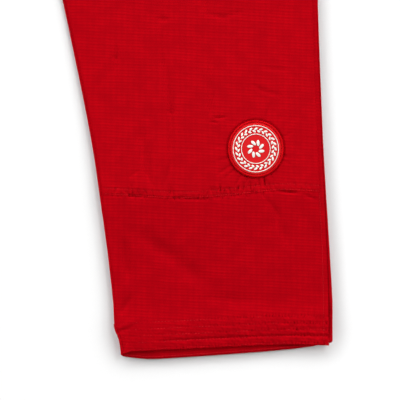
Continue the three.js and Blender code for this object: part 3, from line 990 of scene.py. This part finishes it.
# The badge, moulded flat and laid over the knee cloth, which it follows

BADGE_FACE = 1.35  # height of its face over the knee cloth
# (radius, height) from the middle of the face, over the channel and the rim, and back below
BADGE_PROFILE = [(radius, BADGE_FACE) for radius in (0.0, 8.0, 14.0, 20.0, 26.0)]
BADGE_PROFILE += [(26.9, 1.3), (27.2, 1.1), (27.5, 0.8), (28.2, 0.72), (28.5, 0.98), (28.8, 1.2)]
BADGE_PROFILE += [(29.3, 1.22), (29.8, 1.0), (30.0, 0.5), (30.0, 0.0), (29.6, -0.5), (0.0, -0.5)]
BADGE_CHANNEL = 27.85  # radius of its row of stitches
BADGE_PITCH = 2.8
BADGE_THREAD = 0.6
BADGE_THREAD_HEIGHT = 0.82
RIM_STARTS = 27.0
WHITE_RINGS = (24.6, 15.6)
RING_WIDTH = 0.7
WREATH_PAIRS = 24
PETALS = 8
RELIEF = 0.28
SHOULDER = 0.07  # the leaves' edges are rounded off by this much
ROOT = 0.15  # and their walls start this deep in the face
RING_SECTION = [(-0.5, -0.15), (-0.5, 0.2), (-0.34, RELIEF), (0.34, RELIEF), (0.5, 0.2), (0.5, -0.15)]


def badge_ground(x, y):
    """The knee cloth's face under the badge, which bridges its small creases."""
    reach = np.hypot(x - BADGE_X, y - BADGE_Y) / BADGE_RADIUS
    return front_top(x, y) + KNEE_RISE - 0.1 * reach**2


def spun(bm, profile):
    """Adds a profile of (radius, height), spun about the badge's middle."""
    line = [bm.verts.new((radius, 0, height)) for radius, height in profile]
    edges = [bm.edges.new(pair) for pair in zip(line, line[1:])]
    full = 2 * math.pi
    geom = line + edges
    bmesh.ops.spin(bm, geom=geom, axis=(0, 0, 1), cent=(0, 0, 0), angle=full, steps=96, use_merge=True)
    bmesh.ops.remove_doubles(bm, verts=bm.verts, dist=0.001)


def raised_leaf(bm, radius, turn, lean, length, width):
    """A raised leaf with rounded shoulders. lean turns it from the direction round the badge."""
    heading = turn + math.pi / 2 + lean
    middle = Vector((radius * math.cos(turn), radius * math.sin(turn), BADGE_FACE - ROOT))
    shape = Matrix.Translation(middle) @ Matrix.Rotation(heading, 4, "Z")
    shape = shape @ Matrix.Diagonal((length / 2, width / 2, 1, 1))
    made = bmesh.ops.create_circle(bm, cap_ends=True, segments=12, radius=1, matrix=shape)
    face = made["verts"][0].link_faces[0]
    if face.normal.z < 0:
        face.normal_flip()
    walls = bmesh.ops.extrude_face_region(bm, geom=[face])["geom"]
    top = [v for v in walls if isinstance(v, bmesh.types.BMVert)]
    bmesh.ops.translate(bm, verts=top, vec=(0, 0, ROOT + RELIEF - SHOULDER))
    roof = [f for f in walls if isinstance(f, bmesh.types.BMFace)]
    bmesh.ops.inset_region(bm, faces=roof, thickness=0.16, depth=SHOULDER)


def badge_piece(materials):
    """The badge, with the materials of its face, its rim and its white design."""
    bm = bmesh.new()
    spun(bm, BADGE_PROFILE)
    for face in bm.faces:
        face.material_index = int(face.calc_center_median().xy.length > RIM_STARTS)
    red_faces = set(bm.faces)
    for radius in WHITE_RINGS:
        spun(bm, [(radius + RING_WIDTH * across, BADGE_FACE + up) for across, up in RING_SECTION])
    for i in range(WREATH_PAIRS):
        turn = 2 * math.pi * i / WREATH_PAIRS
        raised_leaf(bm, 21.2, turn, 0.55, 4.4, 2.1)
        raised_leaf(bm, 18.7, turn + 0.1, -0.55, 3.9, 2.0)
    for i in range(PETALS):
        turn = 2 * math.pi * (i + 0.5) / PETALS
        raised_leaf(bm, 6.6, turn, math.pi / 2 + 0.45, 6.6, 3.2)
    for face in bm.faces:
        if face not in red_faces:
            face.material_index = 2
    bmesh.ops.recalc_face_normals(bm, faces=bm.faces)
    flat = np.array([v.co for v in bm.verts])
    x, y = flat[:, 0] * BADGE_SQUEEZE + BADGE_X, flat[:, 1] + BADGE_Y
    move_points(bm, place(x, y, badge_ground(x, y) + flat[:, 2]))
    piece = finished(bm, "badge", materials[0])
    for material in materials[1:]:
        piece.data.materials.append(material)
    return piece


def badge_stitches():
    def point(along):
        turn = along / BADGE_CHANNEL
        x = BADGE_X + BADGE_SQUEEZE * BADGE_CHANNEL * np.cos(turn)
        y = BADGE_Y + BADGE_CHANNEL * np.sin(turn)
        return x, y, badge_ground(x, y) + BADGE_THREAD_HEIGHT

    return [stitches_along(0, 2 * math.pi * BADGE_CHANNEL, point, pitch=BADGE_PITCH)]


# Materials


def linear(hex_colour):
    """An sRGB hex colour as the linear values that a shader takes."""
    channels = [int(hex_colour[i : i + 2], 16) / 255 for i in (1, 3, 5)]
    values = [c / 12.92 if c <= 0.04045 else ((c + 0.055) / 1.055) ** 2.4 for c in channels]
    return (*values, 1.0)


def add(tree, kind, *numbered, out=0, **named):
    """Adds a node and returns one of its outputs.

    The numbered values fill its sockets in order. Named ones that start small are its settings.
    """
    node = tree.nodes.new("ShaderNode" + kind)
    sockets = list(zip(node.inputs, numbered))
    for key, value in named.items():
        if key[0].islower():
            setattr(node, key, value)
        else:
            sockets.append((node.inputs[key.replace("_", " ")], value))
    for socket, value in sockets:
        if isinstance(value, bpy.types.NodeSocket):
            tree.links.new(value, socket)
        else:
            socket.default_value = value
    return node.outputs[out]


def new_material(name, roughness, gloss):
    material = bpy.data.materials.new(name)
    material.use_nodes = True
    tree = material.node_tree
    shader = tree.nodes["Principled BSDF"]
    shader.inputs["Roughness"].default_value = roughness
    shader.inputs["Specular IOR Level"].default_value = gloss
    return material, tree, shader


def coloured(tree, shader, fac, dark, pale):
    """Colours the shader between two tones by a value, and returns the ramp's two stops."""
    colour = add(tree, "ValToRGB", fac)
    stops = colour.node.color_ramp.elements
    stops[0].color = linear(dark)
    stops[1].color = linear(pale)
    tree.links.new(colour, shader.inputs["Base Color"])
    return stops


def bumped(tree, shader, height, depth):
    """Raises the shader's surface by a value, up to this many millimetres."""
    normal = add(tree, "Bump", Height=height, Strength=1.0, Distance=depth * MM)
    tree.links.new(normal, shader.inputs["Normal"])


def grained(name, colours, per_metre, detail, roughness, gloss, relief=0):
    """A material that is nearly even, with a fine grain in two tones of its colour."""
    material, tree, shader = new_material(name, roughness, gloss)
    where = add(tree, "TexCoord", out="Object")
    grain = add(tree, "TexNoise", out="Fac", Vector=where, Scale=per_metre, Detail=detail)
    coloured(tree, shader, grain, *colours)
    if relief:
        bumped(tree, shader, grain, relief)
    return material


RIB_PERIOD = 3.28  # between the thick weft ribs of the ripstop grid, in millimetres of cloth
WARP_PERIOD = 6.1  # between its upright thick threads
RIB_SLOPE = 0.055  # the weft runs down to the right by this much
RIB_HEIGHT = 0.06

# Blobs of noise in a metre of cloth
WANDER = 22.0  # the weave wanders a little, as cloth does once it is washed
WANDER_REACH = (3.5 * MM, 3 * MM, 0.0)
GRAIN = 900.0
PATCHES = 70.0  # where the ribs stand out more, and less, in their relief and in their painted shade
CLOUDS = 30.0


def ripstop_cotton(name, dark, pale):
    """Cotton ripstop, plain weave with a grid of thicker threads, dyed red.

    Cotton has no gloss: the eye sees a flat red with faint ribs every few millimetres, a finer
    grain between them, and folds only by their soft shade. The ribs are painted a touch paler,
    as painted shade of the weave's relief, and the dye is a little uneven across the cloth.
    """
    material, tree, shader = new_material(name, roughness=1.0, gloss=0.0)
    cut = add(tree, "UVMap", uv_map="cut")
    wander = add(tree, "TexNoise", out="Color", Vector=cut, Scale=WANDER, Detail=1.0)
    offset = add(tree, "VectorMath", wander, (0.5, 0.5, 0.5), operation="SUBTRACT")
    moved = add(tree, "VectorMath", offset, WANDER_REACH, cut, operation="MULTIPLY_ADD")
    level = add(tree, "VectorMath", moved, (RIB_SLOPE, 1.0, 0.0), out="Value", operation="DOT_PRODUCT")
    across = add(tree, "SeparateXYZ", moved)
    sloped = add(tree, "CombineXYZ", across, level)

    def ribs(period, direction, phase=0.0):
        """Bands, one every period in millimetres."""
        kind = dict(wave_type="BANDS", bands_direction=direction)
        scale = 2 * math.pi / (20 * period * MM)
        return add(tree, "TexWave", out="Fac", Vector=sloped, Scale=scale, Phase_Offset=phase, **kind)

    def noise(per_metre, detail):
        return add(tree, "TexNoise", out="Fac", Vector=cut, Scale=per_metre, Detail=detail)

    def weighted(*terms):
        """Adds up (fac, weight) pairs."""
        total = 0.0
        for fac, weight in terms:
            total = add(tree, "Math", fac, weight, total, operation="MULTIPLY_ADD")
        return total

    thick = ribs(2 * RIB_PERIOD, "Y", phase=0.6)
    every = ribs(RIB_PERIOD, "Y")
    upright = ribs(WARP_PERIOD, "X")
    grain = noise(GRAIN, 1.0)
    patches = noise(PATCHES, 1.0)
    ribbing = weighted((every, 0.42), (thick, 0.14), (upright, 0.16))
    strong = add(tree, "MapRange", Value=patches, From_Min=0.35, From_Max=0.65, To_Min=0.45)
    patchy = add(tree, "Math", ribbing, strong, operation="MULTIPLY")
    # the ribs are painted paler than the grooves between them, as painted shade of the weave's relief,
    # over the cloth's own grain and uneven dye
    shade_and_tone = weighted((patchy, 1.05), (grain, 0.3), (noise(CLOUDS, 2.0), 0.25))
    stops = coloured(tree, shader, shade_and_tone, dark, pale)
    stops[0].position = 0.2
    bumped(tree, shader, weighted((patchy, 1.0), (every, 0.25), (grain, 0.3)), RIB_HEIGHT)
    return material


leg_cloth = ripstop_cotton("ripstop_cotton_leg", "#90020D", "#AA030F")
knee_cloth = ripstop_cotton("ripstop_cotton_knee", "#96030E", "#B00410")
# spun cotton sewing thread, a little paler than the cloth, with a slight gleam on its twist
twist = dict(per_metre=1400.0, detail=1.0, roughness=0.7, gloss=0.15)
thread = grained("cotton_thread", ("#A8050F", "#BC0A17"), **twist)
# soft moulded PVC: a satin skin over a fine moulded grain, its colour almost even
pvc = dict(detail=2.0, roughness=0.7, gloss=0.02)
badge_materials = [
    grained("moulded_pvc_red", ("#C01B1E", "#C82022"), 1 / (1.2 * MM), relief=0.02, **pvc),
    grained("moulded_pvc_dark_red", ("#AE0409", "#BC060F"), 1 / (1.0 * MM), relief=0.05, **pvc),
    grained("moulded_pvc_white", ("#D6DAD2", "#DEE2DA"), 1 / (1.0 * MM), relief=0.01, **pvc),
]
# white paper, quite matt and a hair uneven
matt = dict(per_metre=300.0, detail=2.0, roughness=1.0, gloss=0.0)
paper = grained("white_paper_floor", ("#E4E4E4", "#E6E6E6"), **matt)

# Pieces

fine_columns = panel_columns(264)
plain_columns = panel_columns(52)
fine_rows = panel_rows(0, (34, 1.0), (160, 2.6), (176, 1.5), (586, 20), (914.6, 12))
plain_rows = panel_rows(0, (42, 1.9), (172, 3.2), (586, 8), (914.6, 5))

pieces = {}
for face, face_height in (("front", hidden_face), ("back", back_face)):
    for side_name, side in SIDES.items():
        name = f"{face}_leg_{side_name}"
        fine = face == "front" and side_name == "left"
        rows, columns = (fine_rows, fine_columns) if fine else (plain_rows, plain_columns)
        pieces[name] = leg_panel(name, side, face, rows, columns, face_height, leg_cloth)
knee_steps = {
    "left": (236, [(256, 1.1), (400, 2.2), (KNEE_HIGH - 4, 7)]),
    "right": (60, [(400, 3.2), (KNEE_HIGH - 4, 5)]),
}
for side_name, (count, stretches) in knee_steps.items():
    name = "knee_" + side_name
    columns = panel_columns(count, KNEE_EDGE_COLUMNS)
    rows = panel_rows(KNEE_LOW, (KNEE_LOW + 4, 0.5), *stretches, (KNEE_HIGH, 0.6))
    pieces[name] = knee_panel(name, SIDES[side_name], columns, rows, knee_cloth)
pieces["gusset"] = gusset_piece(leg_cloth)
pieces["waistband"] = waistband_piece(leg_cloth)
pieces["badge"] = badge_piece(badge_materials)

sewing = {}
leg_rows = dict(front=front_stitches, back=back_stitches, hem=inside_hem_stitches, knee=knee_stitches)
for part, stitches in leg_rows.items():
    for side_name, side in SIDES.items():
        name = f"{part}_{side_name}"
        sewing[name] = sewn("sewing_" + name, stitches(side), thread)
sewing["waistband"] = sewn("sewing_waistband", waistband_stitches(), thread)
sewing["slits"] = sewn("sewing_slits", slit_stitches(), thread)
sewing["badge"] = sewn("sewing_badge", badge_stitches(), thread, thickness=BADGE_THREAD)

for node, piece in pieces.items():
    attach(piece, "root")
    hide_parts(node)
for name, piece in sewing.items():
    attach(piece, "root")

# The floor, the light and the camera

FLOOR_REACH = 30  # past the top of the frame in a low view too
floor_mesh = bmesh.new()
bmesh.ops.create_grid(floor_mesh, x_segments=8, y_segments=8, size=FLOOR_REACH)
floor = finished(floor_mesh, "floor", paper)

for side_name in SIDES:
    on_knee = [sewing["knee_" + side_name]]
    if side_name == "left":
        on_knee += [pieces["badge"], sewing["badge"]]

# A low ring of soft light all round, which throws the wide pale shadow, and a weak light from
# the upper right that shades the creases
RING_HEIGHT = 17.5
RING_SPREAD = 9
RING_TOP = 0.7  # it is this share stronger beyond the waist, weaker beyond the hems
RING_LEFT = 0.12  # and this share stronger on the left, weaker on the right
RING_LIGHT = 6.89
SKY_LIGHT = 0.05

world = bpy.data.worlds.new("studio")
bpy.context.scene.world = world
world.use_nodes = True
tree = world.node_tree
direction = add(tree, "TexCoord", out="Generated")
height = add(tree, "SeparateXYZ", direction, out="Z")
elevation = add(tree, "Math", height, operation="ARCSINE")
over_ring = add(tree, "Math", elevation, math.radians(RING_HEIGHT), operation="SUBTRACT")
spread = add(tree, "Math", over_ring, math.radians(RING_SPREAD), operation="DIVIDE")
squared = add(tree, "Math", spread, spread, operation="MULTIPLY")
falloff = add(tree, "Math", 1 / math.e, squared, operation="POWER")
lean = (-RING_LIGHT * RING_LEFT, RING_LIGHT * RING_TOP, 0.0)
uneven = add(tree, "VectorMath", direction, lean, out="Value", operation="DOT_PRODUCT")
ring = add(tree, "Math", uneven, RING_LIGHT, operation="ADD")
strength = add(tree, "Math", falloff, ring, SKY_LIGHT, operation="MULTIPLY_ADD")
background = tree.nodes["Background"]
tree.links.new(strength, background.inputs["Strength"])
background.inputs["Color"].default_value = (1, 1, 1, 1)

LAMP_PLACE = Vector((1.96, 1.09, 2.01))
LAMP_TARGET = Vector((0.23, -0.31, 0))
lamp_data = bpy.data.lights.new("upper_right", "AREA")
lamp_data.size = 1.0
lamp_data.energy = 28
lamp = bpy.data.objects.new("upper_right", lamp_data)
lamp.location = LAMP_PLACE
lamp.rotation_euler = (LAMP_TARGET - LAMP_PLACE).to_track_quat("-Z", "Y").to_euler()
bpy.context.scene.collection.objects.link(lamp)

CAMERA_HEIGHT = 2.6
CLOTH_LEVEL = 0.008  # the frame's width is measured at this height
FRAME_WIDTH = 0.424
camera_data = bpy.data.cameras.new("camera")
camera_data.sensor_width = 36
camera_data.lens = 36 * (CAMERA_HEIGHT - CLOTH_LEVEL) / FRAME_WIDTH
camera = bpy.data.objects.new("camera", camera_data)
camera.location = (0.2268, -0.3117, CAMERA_HEIGHT)
bpy.context.scene.collection.objects.link(camera)
bpy.context.scene.camera = camera
bpy.context.scene.view_settings.view_transform = "Standard"
